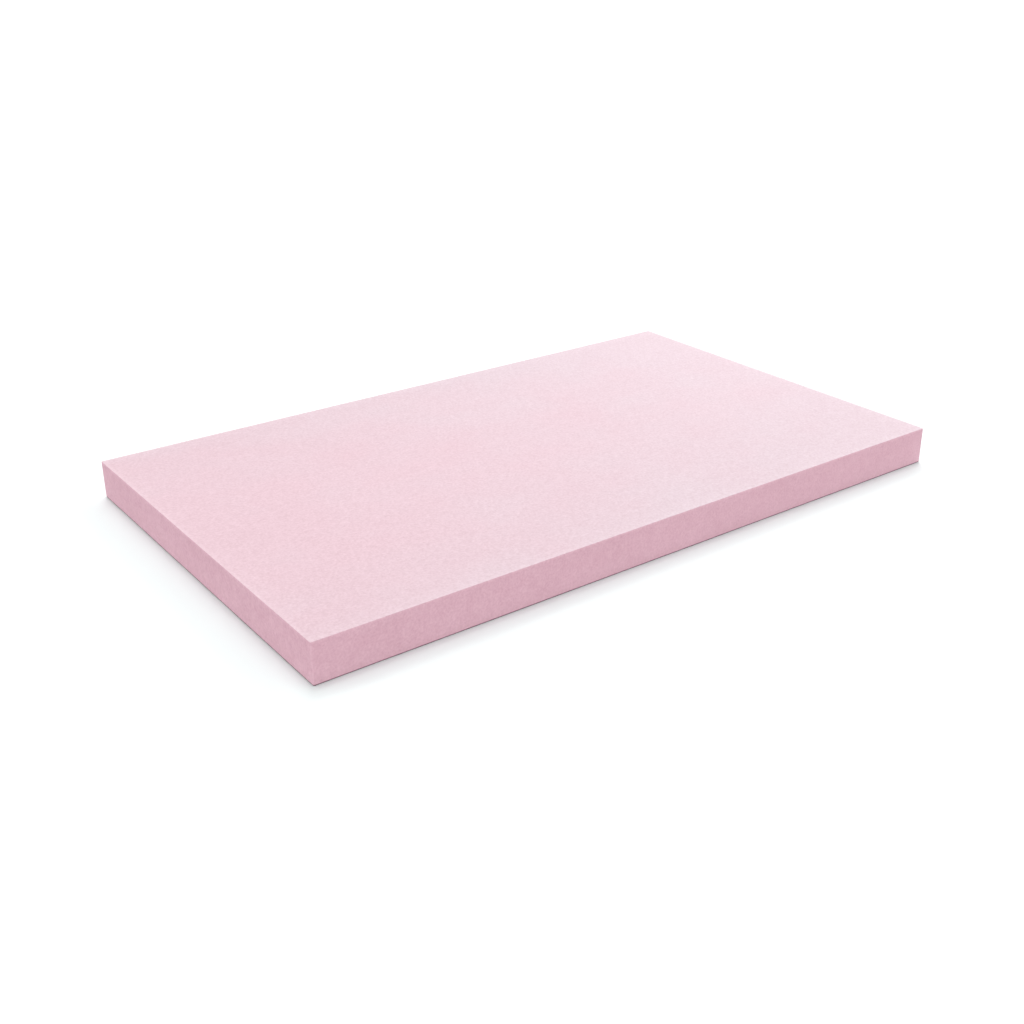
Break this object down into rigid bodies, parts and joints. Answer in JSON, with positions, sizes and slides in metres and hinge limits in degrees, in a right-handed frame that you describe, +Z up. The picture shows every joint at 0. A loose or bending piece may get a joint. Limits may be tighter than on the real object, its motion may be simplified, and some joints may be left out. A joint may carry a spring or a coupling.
{
  "type": "foam insulation board",
  "caption": "Flat rectangular slab of rigid closed-cell foam with square butt edges, laid as thermal insulation in walls, floors and roofs.",
  "frame": {"origin": "centre of the underside, the face that the board lies on", "axes": "+X along the length, +Y across the width, +Z up through the thickness"},
  "size_m": [1, 0.6, 0.053],
  "materials": {
    "foam": "matt closed-cell foam, pale pink, with a fine even grain"
  },
  "bodies": {
    "root": {"foam_board": "foam"}
  },
  "joints": []
}
